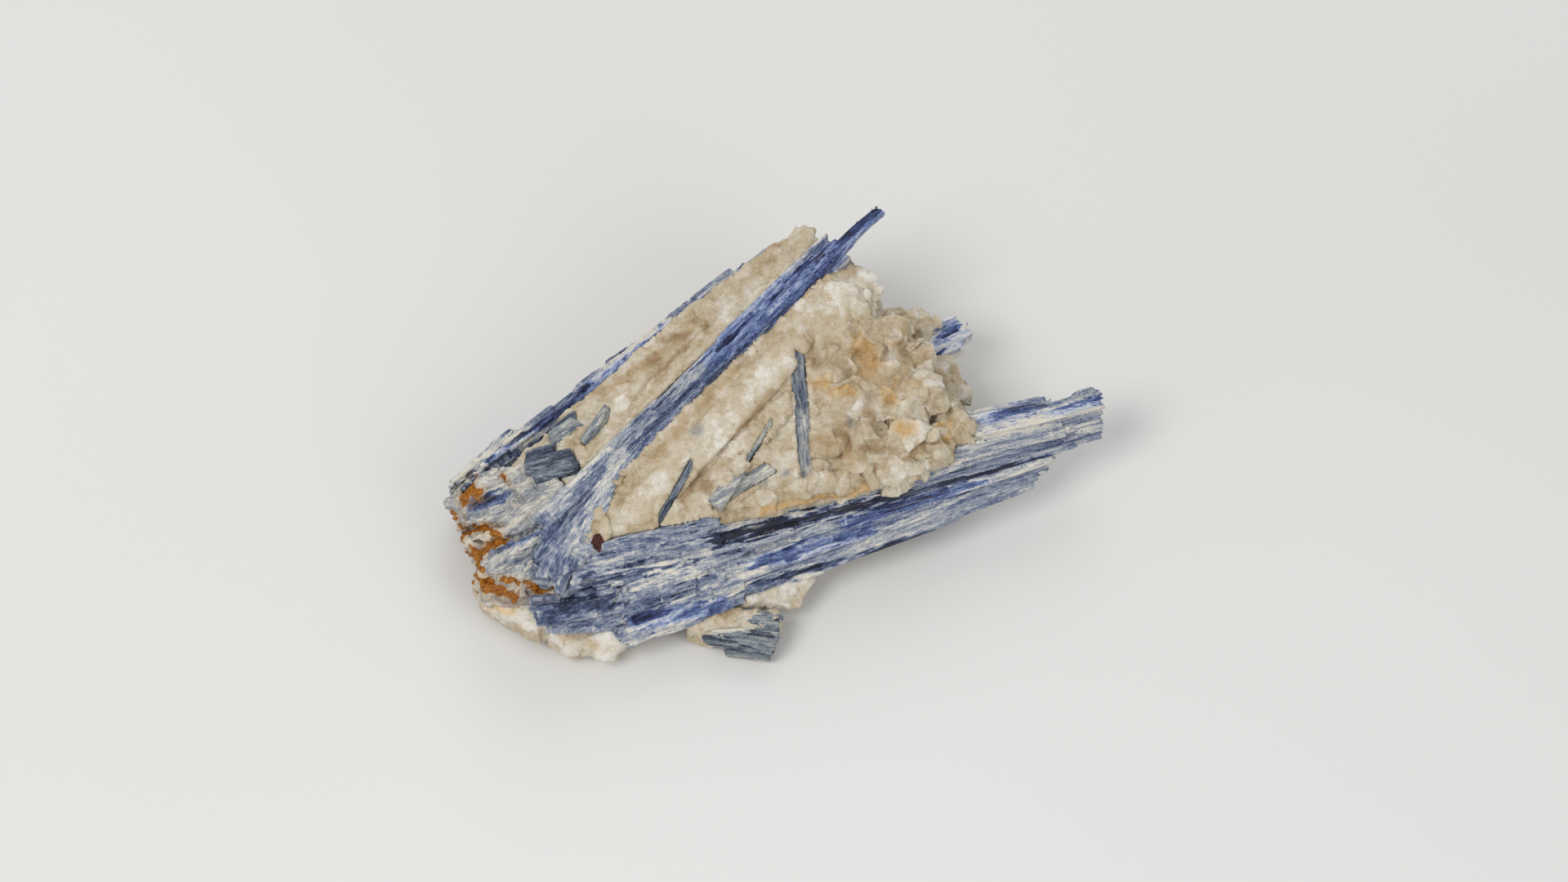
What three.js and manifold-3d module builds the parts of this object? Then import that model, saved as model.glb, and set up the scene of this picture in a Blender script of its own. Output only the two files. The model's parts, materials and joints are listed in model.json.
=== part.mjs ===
// A hand specimen of kyanite: blue bladed crystals grown through a lump of milky quartz.
// Millimetres, +Z up. The specimen lies on a flat fracture face of the quartz.
import * as THREE from "three";
import { ConvexGeometry } from "three/addons/geometries/ConvexGeometry.js";
import { mergeVertices } from "three/addons/utils/BufferGeometryUtils.js";
import Module from "manifold-3d";

const wasm = await Module();
wasm.setup();

// Driving dimensions
const LONG_BLADE_LENGTH = 76; // embedded length, before the free tip
const TIP_OVERHANG = 11; // how far the slim tip stands out past the blade
const EDGE_BLADE_LENGTH = 73;
const BUNDLE_LENGTH = 104; // lower bundle, from the root to the broken end
const BUNDLE_SLOPE = 48; // degrees that the bundle's broad face leans towards the front
const STUB_LENGTH = 17;
const FIT_GAP = 0.3; // clearance between a crystal and the quartz it grew in
const CORNER_GROWTH = 3; // how far a block's corners move out to clear its faces by one gap
const CHAMFER_SHARE = 0.14; // edge bevel of a lath, as a share of its thinner side
const DEEP = 40; // half size of the block that trims the resting face

// Surface finish of each mineral
const MINERALS = {
  quartz: { color: 0xcdbb9c, roughness: 0.55 },
  kyanite: { color: 0x6f8dbb, roughness: 0.4 },
  paleKyanite: { color: 0x9fb0c2, roughness: 0.5 },
  darkRedGrain: { color: 0x4a1209, roughness: 0.45 },
};

const vector = ([x, y, z]) => new THREE.Vector3(x, y, z);
const radians = THREE.MathUtils.degToRad;

// A repeatable stream of numbers from 0 to 1.
function randomStream(seed) {
  let state = seed;
  return () => {
    state = (state * 1664525 + 1013904223) % 4294967296;
    return state / 4294967296;
  };
}

// Solids and meshes
function solidOf(geometry) {
  const bare = geometry.clone();
  bare.deleteAttribute("normal");
  bare.deleteAttribute("uv");
  const merged = mergeVertices(bare, 1e-4);
  const vertProperties = new Float32Array(merged.attributes.position.array);
  const triVerts = new Uint32Array(merged.index.array);
  return new wasm.Manifold(new wasm.Mesh({ numProp: 3, vertProperties, triVerts }));
}

function geometryOf(solid) {
  const { vertProperties, triVerts } = solid.getMesh();
  const geometry = new THREE.BufferGeometry();
  geometry.setAttribute("position", new THREE.BufferAttribute(vertProperties, 3));
  geometry.setIndex(new THREE.BufferAttribute(triVerts, 1));
  geometry.computeVertexNormals();
  return geometry;
}

const join = (solids) => solids.reduce((whole, solid) => whole.add(solid));
const hull = (points) => solidOf(new ConvexGeometry(points.map(vector)));
const moved = (solid, matrix) => solid.transform(matrix.elements);

// The corners of a convex block, each pushed out from the block's middle.
function spread(points, distance) {
  const corners = points.map(vector);
  const middle = new THREE.Box3().setFromPoints(corners).getCenter(new THREE.Vector3());
  return corners.map((corner) => {
    const outward = corner.clone().sub(middle).setLength(distance);
    return corner.add(outward).toArray();
  });
}

function largestPiece(solid) {
  return solid.decompose().reduce((a, b) => (a.volume() > b.volume() ? a : b));
}

// A crystal's own frame: x along the blade from start to end, y across its broad face, z out of it.
function bladeFrame(start, end, face) {
  const along = vector(end).sub(vector(start)).normalize();
  const across = vector(face).cross(along).normalize();
  const out = along.clone().cross(across);
  return new THREE.Matrix4().makeBasis(along, across, out).setPosition(vector(start));
}

// One cleavage lath of a blade: a flat-faced prism with bevelled edges and slanted broken ends.
// from and to lie along the blade; across and rise place the middle of its face.
function lath(shape, gap) {
  const { from, to, across = 0, rise = 0, width, thick } = shape;
  const { roll = 0, yaw = 0, cutStart = 0, cutEnd = 0 } = shape;
  const side = width / 2 + gap;
  const bevel = CHAMFER_SHARE * Math.min(width, thick);
  const section = [
    [-side, -bevel],
    [-side + bevel, gap],
    [side - bevel, gap],
    [side, -bevel],
    [side - bevel, -thick - gap],
    [-side + bevel, -thick - gap],
  ];
  const half = (to - from) / 2;
  const ring = (x, cut) => section.map(([y, z]) => [x + y * Math.tan(radians(cut)), y, z]);
  const solid = hull([...ring(-half - gap, cutStart), ...ring(half + gap, cutEnd)]);
  const tilt = new THREE.Euler(radians(roll), 0, radians(yaw), "ZXY");
  const turn = new THREE.Matrix4().makeRotationFromEuler(tilt);
  return moved(solid, turn.setPosition((from + to) / 2, across, rise));
}

// A crystal grown from laths: its frame, its solid, and the hollow it needs in whatever surrounds it.
function crystal(name, mineral, { start, end, face, laths }) {
  const frame = bladeFrame(start, end, face);
  const grown = (gap) => join(laths.map((shape) => lath(shape, gap)));
  return { name, mineral, frame, solid: grown(0), hollow: moved(grown(FIT_GAP), frame) };
}

// The long blade across the top: a pale left face and a dark right face that meet in a ridge,
// a slim free tip at one end and a fan of splayed laths at the root.
function longBlade() {
  const L = LONG_BLADE_LENGTH;
  return crystal("long_blade", "kyanite", {
    start: [-40.7, -18.8, 24],
    end: [11.3, 35.7, 34],
    face: [0, 0, 1],
    laths: [
      {
        from: -6, to: L - 1, across: 3, rise: -0.4, width: 2.6, thick: 7,
        roll: 14, yaw: -0.6, cutEnd: 25,
      },
      { from: -3, to: L, across: 1.4, rise: 0.1, width: 1.4, thick: 7, cutEnd: -20 },
      {
        from: 10, to: L - 8, across: 0.1, rise: -0.4, width: 2, thick: 6,
        roll: -22, cutStart: 40, cutEnd: 30,
      },
      {
        from: 46, to: L - 1, across: -0.7, rise: -0.9, width: 1.8, thick: 5,
        roll: -16, yaw: -0.5, cutEnd: -15,
      },
      {
        from: 60, to: L + TIP_OVERHANG, across: 0.2, rise: -0.4, width: 2, thick: 2.4,
        yaw: -4.5, cutEnd: 15,
      },
      {
        from: -13, to: 13, across: -4.3, rise: -1.5, width: 2.8, thick: 6,
        roll: -14, yaw: 14, cutStart: 20, cutEnd: -30,
      },
      {
        from: -14, to: 13, across: -2.1, rise: -0.8, width: 2.8, thick: 6,
        roll: -6, yaw: 10, cutStart: -25, cutEnd: -35,
      },
      {
        from: -12, to: 8, across: -0.2, rise: -0.4, width: 2.4, thick: 6,
        yaw: 6, cutStart: 30, cutEnd: -40,
      },
    ],
  });
}

// The upright blade along the back left edge: its broad face is the back wall of the specimen.
function edgeBlade() {
  const L = EDGE_BLADE_LENGTH;
  return crystal("edge_blade", "kyanite", {
    start: [-59, -7.4, 16],
    end: [-1.6, 37.6, 28],
    face: [0, 0, 1],
    laths: [
      { from: -4, to: L + 1, across: 1.6, width: 1.3, thick: 14, cutStart: 30, cutEnd: 40 },
      { from: 0, to: L - 8, across: 2.7, rise: -0.6, width: 1.3, thick: 13, roll: 5, cutEnd: -30 },
      { from: 4, to: 36, across: 0.4, rise: -0.9, width: 1.3, thick: 11, roll: -8, cutEnd: 40 },
      {
        from: -5, to: 11, across: 3.7, rise: -0.8, width: 1.8, thick: 11,
        roll: 8, cutStart: 30, cutEnd: -45,
      },
    ],
  });
}

// The broken root at the left, where the blades run together: stacked ledges with a stepped outer face.
function rootCluster() {
  const upperLedge = [
    [-64.7, -6.6, 13.5], [-57.3, -6.2, 18.5], [-49.8, -12.4, 20.6], [-45.9, -19.2, 20.6],
    [-55.4, -17.3, 16.4],
    [-63.8, -14.4, 12], [-66.4, -9.6, 11.5], [-62, -7, 5], [-49, -9, 5], [-47, -18, 5], [-63, -14, 5],
  ];
  const middleLedge = [
    [-63.5, -15.4, 9.6], [-55.2, -17.8, 14.4], [-45.3, -19.6, 19.4], [-40.8, -19.8, 21.6],
    [-48.8, -23, 17.4],
    [-56.9, -24.6, 12.4], [-60.4, -22.6, 9.2], [-61, -15, 3], [-46, -18, 4], [-48, -23, 4],
    [-59, -22.6, 3],
  ];
  const blade = [
    [-60.3, -23.7, 11.5], [-50.4, -21.6, 18.4], [-40.7, -20.6, 23.2], [-40.2, -24.5, 23],
    [-42.1, -32.2, 20.4],
    [-50.2, -30.6, 17], [-56.8, -27.6, 13], [-58, -23.6, 6], [-43, -21, 9], [-44, -31, 9],
    [-56, -27.4, 6],
  ];
  const lowerShelf = [
    [-60, -23.9, 8.5], [-50.5, -29, 13], [-42.6, -31, 16.6], [-43, -33.6, 14.6], [-48.8, -33, 11.6],
    [-57, -30.6, 8],
    [-59.6, -28.6, 6.4], [-59, -24, 2], [-45, -30, 3], [-46, -32.6, 3], [-56, -30, 2],
  ];
  const layers = [
    {
      from: 1, to: 16, across: 4.6, rise: 0.9, width: 2.4, thick: 6,
      roll: 10, yaw: 4, cutStart: 20, cutEnd: -35,
    },
    {
      from: 4, to: 19, across: 1.4, rise: 1.1, width: 2.6, thick: 6,
      roll: -6, cutStart: -25, cutEnd: 30,
    },
    {
      from: 2.4, to: 15, across: -1.2, rise: 0.6, width: 2, thick: 6,
      roll: 6, yaw: -3, cutStart: 30, cutEnd: -20,
    },
    {
      from: 5, to: 22, across: -5.4, rise: 0.4, width: 2.2, thick: 6,
      roll: 8, cutStart: 24, cutEnd: -28,
    },
    {
      from: 9, to: 22, across: -9.6, rise: 2.2, width: 2.6, thick: 6,
      roll: 10, yaw: 8, cutStart: 18, cutEnd: -24,
    },
    {
      from: 8, to: 20, across: -12.6, rise: 1.6, width: 2.4, thick: 6,
      roll: -8, yaw: 4, cutStart: -20, cutEnd: 20,
    },
  ];
  const layerFrame = bladeFrame([-64, -13, 11.5], [-45, -14.5, 21], [-0.4, -0.1, 1]);
  const grown = (gap) =>
    join([
      ...[upperLedge, middleLedge, blade, lowerShelf].map((points) => hull(spread(points, CORNER_GROWTH * gap))),
      ...layers.map((shape) => moved(lath(shape, gap), layerFrame)),
    ]);
  const frame = new THREE.Matrix4();
  return { name: "root_cluster", mineral: "paleKyanite", frame, solid: grown(0), hollow: grown(FIT_GAP) };
}

// The lower bundle: long parallel laths whose broad faces lean towards the front. It runs from broken,
// stepped blocks at the root to a thick end that stands free of the quartz.
function lowerBundle() {
  const L = BUNDLE_LENGTH;
  const lean = radians(BUNDLE_SLOPE);
  return crystal("lower_bundle", "kyanite", {
    start: [-40.4, -35.8, 15],
    end: [56.7, 2, 16],
    face: [0, -Math.sin(lean), Math.cos(lean)],
    laths: [
      // the thick upper blade and its stepped free end, at a small angle to the rest
      { from: 84, to: L - 3, across: 7.6, rise: 0.2, width: 4.2, thick: 6, yaw: -8, cutEnd: 6 },
      { from: 72, to: L - 1, across: 4, rise: 0.5, width: 4.2, thick: 6, yaw: -6.5, cutEnd: -10 },
      { from: 58, to: L + 1, across: 1.3, rise: 0, width: 3.6, thick: 6, yaw: -5, cutEnd: 14 },
      { from: L - 5, to: L + 7.8, across: 5.4, rise: 0.3, width: 4, thick: 5.5, yaw: -2, cutEnd: -4 },
      { from: L - 6, to: L + 7.1, across: 1.6, rise: 0, width: 4.2, thick: 5.5, yaw: -2, cutEnd: 6 },
      { from: L - 16, to: L + 6.6, across: -0.9, rise: -0.7, width: 2, thick: 5, yaw: -3, cutEnd: 24 },
      // the dark recessed laths between the quartz and the front face
      { from: 26, to: 68, across: 4.2, rise: -1, width: 3.2, thick: 5, yaw: -5, cutStart: 50 },
      { from: 30, to: 76, across: 2, rise: -0.5, width: 2, thick: 5, yaw: -5, cutStart: 50, cutEnd: 40 },
      // the front face
      {
        from: 29, to: L - 5, across: -0.4, rise: 0, width: 3, thick: 6.5,
        yaw: -3, cutStart: 30, cutEnd: -12,
      },
      {
        from: 26, to: L - 7, across: -2.8, rise: 0.3, width: 2.8, thick: 6.5,
        yaw: -1, cutStart: 10, cutEnd: -8,
      },
      { from: 26, to: L - 8.4, across: -5.2, rise: 0.1, width: 2.6, thick: 6, yaw: 0.5, cutEnd: 6 },
      { from: 28, to: L - 9.6, across: -7.2, rise: -0.2, width: 2.2, thick: 5.5, yaw: 1.5, cutEnd: 18 },
      { from: 34, to: 78, across: -8.6, rise: -0.8, width: 1.4, thick: 4.5, yaw: 1.2, cutEnd: 25 },
      // shorter broken laths towards the root
      { from: 3, to: 33, across: 8.8, rise: 0.2, width: 3, thick: 5, yaw: -5, cutStart: 30, cutEnd: 40 },
      {
        from: 0, to: 31, across: 6.1, rise: 0.5, width: 3, thick: 6,
        yaw: -6, cutStart: -30, cutEnd: -50,
      },
      {
        from: 0, to: 27, across: 3.6, rise: 0.7, width: 2.6, thick: 6,
        yaw: -8, cutStart: 20, cutEnd: 15,
      },
      {
        from: 8.5, to: 27, across: 0.4, rise: 1, width: 2.8, thick: 6,
        yaw: -5, cutStart: -12, cutEnd: 8,
      },
      {
        from: 9.5, to: 30, across: -2.6, rise: 0.8, width: 2.8, thick: 6,
        yaw: -2, cutStart: 14, cutEnd: -10,
      },
      {
        from: 9, to: 27, across: -5.5, rise: 0.6, width: 2.8, thick: 6,
        yaw: -2, cutStart: -10, cutEnd: 12,
      },
      {
        from: 7, to: 33, across: -8.2, rise: 0.3, width: 2.8, thick: 6.5,
        yaw: -1, cutStart: -8, cutEnd: 16,
      },
      {
        from: 8.5, to: 29, across: -10.3, rise: -0.2, width: 2.2, thick: 5.5,
        yaw: -3, cutStart: 12, cutEnd: 30,
      },
      {
        from: -7.2, to: 10, across: 0, rise: 0.5, width: 4.8, thick: 6,
        yaw: -11, cutStart: -8, cutEnd: 8,
      },
    ],
  });
}

// A short broken bundle that leaves the quartz at the back right.
function rightStub() {
  return crystal("right_stub", "kyanite", {
    start: [22.4, 20.6, 15],
    end: [36.7, 28.2, 15],
    face: [0, -0.35, 1],
    laths: [
      {
        from: -4, to: STUB_LENGTH - 1.8, across: 2.2, rise: -0.3, width: 2.2, thick: 6,
        roll: 10, cutEnd: -12,
      },
      { from: -4, to: STUB_LENGTH - 0.9, across: 0.4, rise: 0.2, width: 2, thick: 6.5, cutEnd: 10 },
      { from: -4, to: STUB_LENGTH - 0.4, across: -1.3, rise: -0.1, width: 1.8, thick: 6, cutEnd: -8 },
      {
        from: -4, to: STUB_LENGTH - 3.2, across: -2.8, rise: -0.5, width: 1.6, thick: 4,
        roll: -10, cutEnd: 15,
      },
    ],
  });
}

// A short broken bundle at the foot of the front side.
function lowerStub() {
  return crystal("lower_stub", "paleKyanite", {
    start: [-17.4, -34.2, 6.4],
    end: [-1.3, -36.4, 6.4],
    face: [0, -0.3, 1],
    laths: [
      { from: 8, to: 16.6, across: 2.4, rise: 0.4, width: 2.8, thick: 4.6, cutStart: 20, cutEnd: 4 },
      { from: 3, to: 16.4, across: 0.2, rise: 0, width: 2.8, thick: 4.8, cutStart: 20, cutEnd: -4 },
      {
        from: 2, to: 16, across: -2, rise: -0.4, width: 2.8, thick: 4.4,
        roll: -6, cutStart: -30, cutEnd: 4,
      },
      {
        from: 6, to: 15.6, across: -3.5, rise: -0.9, width: 2.2, thick: 3.6,
        roll: -10, cutStart: -30, cutEnd: 4,
      },
    ],
  });
}

// Small blades set in the quartz, flush with its broken surface or standing a little proud.
const SURFACE_NORMAL = [0.03, -0.18, 0.98];
const insetBlade = (name, mineral, start, end, laths) =>
  crystal(name, mineral, { start, end, face: SURFACE_NORMAL, laths });

function insetBlades() {
  return [
    insetBlade("upright_blade", "paleKyanite", [4.7, -12.8, 23.4], [2.7, 13.3, 29.5], [
      { from: 0.4, to: 27, across: -0.3, width: 2, thick: 3.4, cutStart: -12, cutEnd: 35 },
      { from: 0, to: 26, across: 1, rise: -0.35, width: 1.2, thick: 3, cutStart: 10, cutEnd: 30 },
    ]),
    insetBlade("broken_blade", "paleKyanite", [-14.2, -16.3, 23.5], [-3, -9.6, 25.7], [
      { from: 0, to: 13.4, across: -0.6, width: 2.6, thick: 3, cutStart: 25, cutEnd: -20 },
      {
        from: 3, to: 10, across: 2.4, rise: -0.1, width: 3, thick: 3,
        yaw: 14, cutStart: -20, cutEnd: 30,
      },
    ]),
    insetBlade("dark_sliver", "kyanite", [-23.8, -20.6, 23.7], [-17.9, -10.6, 26.4], [
      { from: 0, to: 12.4, width: 1.3, thick: 3, roll: 20, cutStart: 60, cutEnd: 60 },
    ]),
    insetBlade("thin_needle", "kyanite", [-8.7, -11.5, 25.4], [-2.2, -0.8, 27.7], [
      { from: 0, to: 12.5, width: 0.9, thick: 2.4, cutStart: 45, cutEnd: 50 },
    ]),
  ];
}

// Blocky crystals in the pocket between the edge blade and the long blade.
const POCKET_FACE = [-0.25, -0.35, 0.9];
const pocketCrystal = (name, start, end, laths) =>
  crystal(name, "kyanite", { start, end, face: POCKET_FACE, laths });

function pocketCrystals() {
  return [
    pocketCrystal("pocket_block", [-50, -9.4, 23], [-39.8, -7.4, 24.6], [
      { from: 0, to: 9.6, across: 0.8, width: 3.4, thick: 5, cutStart: 12, cutEnd: -14 },
      { from: 1, to: 10.4, across: -1.9, rise: -0.5, width: 2.2, thick: 4.6, cutStart: -10, cutEnd: 20 },
      { from: 0.6, to: 6, across: 3, rise: -0.7, width: 1.8, thick: 4, cutStart: 15, cutEnd: 30 },
    ]),
    pocketCrystal("pocket_prism", [-45.4, -2.8, 23], [-39.9, 0.8, 24.3], [
      { from: 0, to: 6.6, width: 3.4, thick: 4, roll: 14, cutStart: 20, cutEnd: -25 },
      { from: 1.6, to: 7, across: 1.9, rise: -0.6, width: 1.6, thick: 4, cutEnd: 20 },
    ]),
    pocketCrystal("pocket_sliver", [-39.3, -3.8, 24.4], [-35.2, 1.8, 26.3], [
      { from: 0, to: 7.4, width: 1.6, thick: 3.4, roll: -24, cutStart: 20, cutEnd: 62 },
    ]),
  ];
}

// A dark red grain that sits in the quartz beside the root.
function darkRedGrain() {
  const frame = new THREE.Matrix4().setPosition(-35.7, -25.2, 22.6);
  const grain = (gap) => lump([0, 0, 0], [1.3 + gap, 2.1 + gap, 1.4 + gap], 77);
  const hollow = moved(grain(FIT_GAP), frame);
  return { name: "red_grain", mineral: "darkRedGrain", frame, solid: grain(0), hollow };
}

// A lump of broken quartz: an ellipsoid with flat faces, jittered so that no two are alike.
function lump(centre, radii, seed) {
  const random = randomStream(seed);
  const corner = new THREE.DodecahedronGeometry(1, 0).getAttribute("position");
  const turn = new THREE.Euler(random() * 6, random() * 6, random() * 6);
  const points = new Map();
  for (let i = 0; i < corner.count; i += 1) {
    const at = new THREE.Vector3().fromBufferAttribute(corner, i);
    const key = at.toArray().map((value) => value.toFixed(3)).join();
    if (points.has(key)) continue;
    at.applyEuler(turn).multiplyScalar(0.86 + 0.28 * random());
    points.set(key, at.multiply(vector(radii)).add(vector(centre)).toArray());
  }
  return hull([...points.values()]);
}

// The main masses of the quartz, each a convex block.
function quartzBlocks() {
  const foot = hull([
    [-54, -18, -1], [-46, -31, -1], [-37, -37, -1], [-27, -35, -1], [0, -24, -1], [14, -13, -1],
    [29, -3, -1],
    [33, 8, -1], [27, 22, -1], [13, 31, -1], [0, 33, -1], [-16, 23, -1], [-38, 5, -1], [-53, -7, -1],
    [-56, -16, 8], [-45, -30, 9], [-28, -31, 9], [12, -16, 9], [31, -4, 10], [37, 7, 11], [31, 25, 10],
    [14, 35, 10], [-2, 38, 10], [-20, 27, 9], [-42, 9, 8], [-56, -5, 8],
    [-40, -22, 17], [-22, -22, 17], [14, -9, 18], [29, 0, 17], [31, 9, 18], [24, 22, 18], [10, 32, 19],
  ]);
  const slab = hull([
    [-49, -3.6, 19.6], [-42.5, 4, 22.4], [-19, 25.4, 25.8], [3.9, 43, 29.4], [6, 40.8, 30],
    [7, 37.4, 30.4],
    [1, 28, 30.6], [-17.4, 8.4, 28], [-34.6, -8.3, 24.6], [-42, -12, 22],
    [-46, -4, 5], [-18, 22, 5], [2, 39, 20], [0, 36, 6], [0, 24, 6], [-36, -10, 5],
  ]);
  const wedge = hull([
    [-33, -25, 21.6], [-25.1, -22.3, 20.8], [-12.6, -19.6, 20.5], [6.3, -14.6, 20.5],
    [17.4, -12, 20.4], [26, -8, 20.2],
    [-36, -13.4, 24.5], [-22, -18.6, 23.4], [4, -11.4, 23.6], [16, -9, 23.4], [25, -4.6, 23.2],
    [29, -1, 22],
    [25, 8, 26.2], [20, 19, 28.8], [14.6, 27, 30.6], [11.6, 34.6, 28], [7.6, 30.6, 32],
    [-32, -20, 6], [0, -11, 6], [24, -1, 6], [31, 4, 6], [28, 20, 6], [14, 34, 8], [2, 31, 8],
  ]);
  const smoothBand = hull([
    [-32.4, -21.6, 23.8], [-30.4, -16.4, 24.6], [-3, 14, 29.6], [3.4, 19.6, 30.4], [5.6, 15.6, 30],
    [-1.6, 5, 28.2],
    [-22, -17, 24.6], [-26, -20.8, 23.2], [-30, -20, 18], [-20, -14, 18], [2, 12, 22], [2, 16, 22],
  ]);
  const secondBand = hull([
    [-21.6, -18.8, 23.4], [-19.6, -16.2, 24.6], [-2.6, 3, 27.8], [0.6, 5, 28], [1.4, 1, 27.4],
    [-11, -13.4, 25],
    [-14.6, -17, 23.6], [-18, -16, 18], [-4, -4, 20], [0, 2, 20],
  ]);
  const lowerRidge = hull([
    [-10, -17.8, 22.8], [-5, -15, 24.2], [10, -10.4, 24.6], [17, -9.4, 24.2], [18, -11.6, 21.4],
    [1, -15.4, 21.6],
    [-8, -15, 18], [14, -9, 18],
  ]);
  const backRib = hull([
    [-40, 12, 4], [-18, 28.6, 4], [-40, 14.6, 13], [-19, 30, 15], [-36, 16.8, 18], [-32, 19, 19],
    [-25.6, 25, 20], [-20, 28.6, 20.4], [-34, 9, 4], [-14, 23, 4],
  ]);
  const frontLedge = hull([
    [-8, -29.6, 8.4], [2.4, -25, 8.6], [6.4, -23, 7.6], [3.8, -27.6, 5.4], [3, -29.8, 5],
    [-10, -30.6, 6.8],
    [-9, -27, 1], [2, -24, 2], [2.4, -28.6, 3.4], [-8, -29, 3],
  ]);
  const rootSliver = hull([
    [-35.3, -17.7, 24.2], [-33.1, -23, 23.4], [-35.9, -29.3, 22], [-40.5, -31.6, 20.6],
    [-42.4, -31.5, 20.4],
    [-40.6, -26, 22.4], [-34, -22, 12], [-40, -30, 12],
  ]);
  return [foot, slab, wedge, smoothBand, secondBand, lowerRidge, backRib, frontLedge, rootSliver];
}

// Broken lumps on the quartz: [x, y, z of the middle, then its radii].
const RIGHT_FLANK_LUMPS = [
  [13.4, 28.4, 25.4, 6, 5.6, 5.6], [12, 20, 25.6, 7.4, 6.6, 4.8], [20, 18.6, 24.4, 6.4, 6, 5.4],
  [8, 12.6, 24.4, 6.6, 7, 4.8], [24.6, 27, 14.6, 6, 5, 5.4], [25.4, 14, 21.6, 5.6, 5.6, 5.4],
  [19.6, 11.4, 23.8, 7, 6, 4.6], [26.4, 8, 21.4, 5.8, 5.6, 5.6], [30, 6.4, 17, 5, 5, 5.4],
  [21, 4.6, 23, 6.6, 6, 4.8],
  [13.6, 4.4, 23.6, 6.6, 6.4, 4.4], [23.6, -2, 21.6, 6.4, 5.2, 5], [32.6, 3.2, 17.8, 4.8, 4.6, 5.2],
  [33.4, 0.8, 20.4, 4.4, 4, 3.8],
  [28.6, -2.8, 19.6, 5.2, 4.4, 5], [20.6, -7.4, 20, 6.2, 4.4, 4.6], [12.6, -7.6, 21.4, 6.4, 4.8, 4],
  [8.2, -3.4, 22.4, 5.6, 5.4, 4], [16, -1, 22.4, 6.4, 5.6, 4.2], [6.8, 22.6, 26.8, 5.6, 5.6, 4.6],
];
const BACK_AND_FRONT_LUMPS = [
  [-33.2, 17.2, 18.6, 4.4, 3, 3.6], [-22.4, 25.8, 20, 5.6, 3, 3.8], [-40, 7, 12, 6, 4, 6],
  [-8, 33, 14, 7, 5, 8],
  [8, 37, 16, 7, 5, 7], [22, 29, 10, 7, 5, 7], [31, 16, 10, 5, 7, 7],
  [-41, -35.6, 4.6, 5.4, 4.4, 4.8], [-35, -36.6, 4.6, 5.4, 4.6, 4.8], [-46.6, -33, 5.4, 4, 3.4, 4],
  [-56.6, -25.8, 4.6, 4.4, 4, 4.4], [-51.6, -29.2, 4, 5, 4, 4], [-30, -34, 4.2, 4.4, 3.4, 4],
  [-14, -30.4, 3.6, 6, 4, 4],
];

function quartzLumps() {
  return [...RIGHT_FLANK_LUMPS, ...BACK_AND_FRONT_LUMPS].map((place, index) =>
    lump(place.slice(0, 3), place.slice(3), 11 + 7 * index),
  );
}

// The quartz as one piece: its masses joined, trimmed flat underneath and hollowed for every crystal.
function quartzMatrix(crystals) {
  const below = solidOf(new THREE.BoxGeometry(8 * DEEP, 8 * DEEP, 2 * DEEP).translate(0, 0, -DEEP));
  const mass = join([...quartzBlocks(), ...quartzLumps()]).subtract(below);
  const solid = largestPiece(mass.subtract(join(crystals.map((piece) => piece.hollow))));
  return { name: "quartz_matrix", mineral: "quartz", frame: new THREE.Matrix4(), solid };
}

// Where two crystals touch, the later one is cut back to leave the fit gap.
function clearOfEachOther(crystals) {
  const taken = [];
  return crystals.map((piece) => {
    const inverse = piece.frame.clone().invert();
    const clear = (solid, other) => solid.subtract(moved(other, inverse));
    const solid = largestPiece(taken.reduce(clear, piece.solid));
    taken.push(piece.hollow);
    return { ...piece, solid };
  });
}

function meshOf({ name, mineral, frame, solid }) {
  const finish = { ...MINERALS[mineral], metalness: 0, flatShading: true };
  const material = new THREE.MeshStandardMaterial(finish);
  const mesh = new THREE.Mesh(geometryOf(solid), material);
  mesh.name = name;
  frame.decompose(mesh.position, mesh.quaternion, mesh.scale);
  return mesh;
}

const crystals = clearOfEachOther(
  [
    longBlade(), edgeBlade(), lowerBundle(), rightStub(), lowerStub(),
    ...insetBlades(), ...pocketCrystals(), darkRedGrain(), rootCluster(),
  ],
);

const specimen = new THREE.Group();
specimen.name = "kyanite_specimen";
specimen.add(...[quartzMatrix(crystals), ...crystals].map(meshOf));

// The origin is on the resting face, under the middle of the specimen.
specimen.updateMatrixWorld(true);
const middle = new THREE.Box3().setFromObject(specimen, true).getCenter(new THREE.Vector3());
specimen.position.set(-middle.x, -middle.y, 0);

export default specimen;
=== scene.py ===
"""Looks of a kyanite specimen: streaked blue blades grown through milky, iron-stained quartz."""
import json
import math

import bmesh
import bpy
import numpy as np
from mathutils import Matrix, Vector
from mathutils.bvhtree import BVHTree


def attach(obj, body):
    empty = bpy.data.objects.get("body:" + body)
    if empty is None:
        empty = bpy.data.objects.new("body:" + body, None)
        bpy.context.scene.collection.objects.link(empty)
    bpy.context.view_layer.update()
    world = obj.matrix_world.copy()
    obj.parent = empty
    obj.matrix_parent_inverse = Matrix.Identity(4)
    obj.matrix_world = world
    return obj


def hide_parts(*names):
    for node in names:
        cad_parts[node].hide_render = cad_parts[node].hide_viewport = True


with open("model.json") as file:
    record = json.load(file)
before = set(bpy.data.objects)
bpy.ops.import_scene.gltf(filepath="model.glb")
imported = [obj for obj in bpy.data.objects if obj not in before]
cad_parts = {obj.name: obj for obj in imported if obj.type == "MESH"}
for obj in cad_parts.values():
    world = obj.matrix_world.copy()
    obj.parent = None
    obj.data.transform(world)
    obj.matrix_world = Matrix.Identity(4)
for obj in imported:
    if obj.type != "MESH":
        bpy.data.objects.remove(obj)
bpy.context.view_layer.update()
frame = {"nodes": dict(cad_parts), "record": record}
scene = bpy.context.scene

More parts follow.
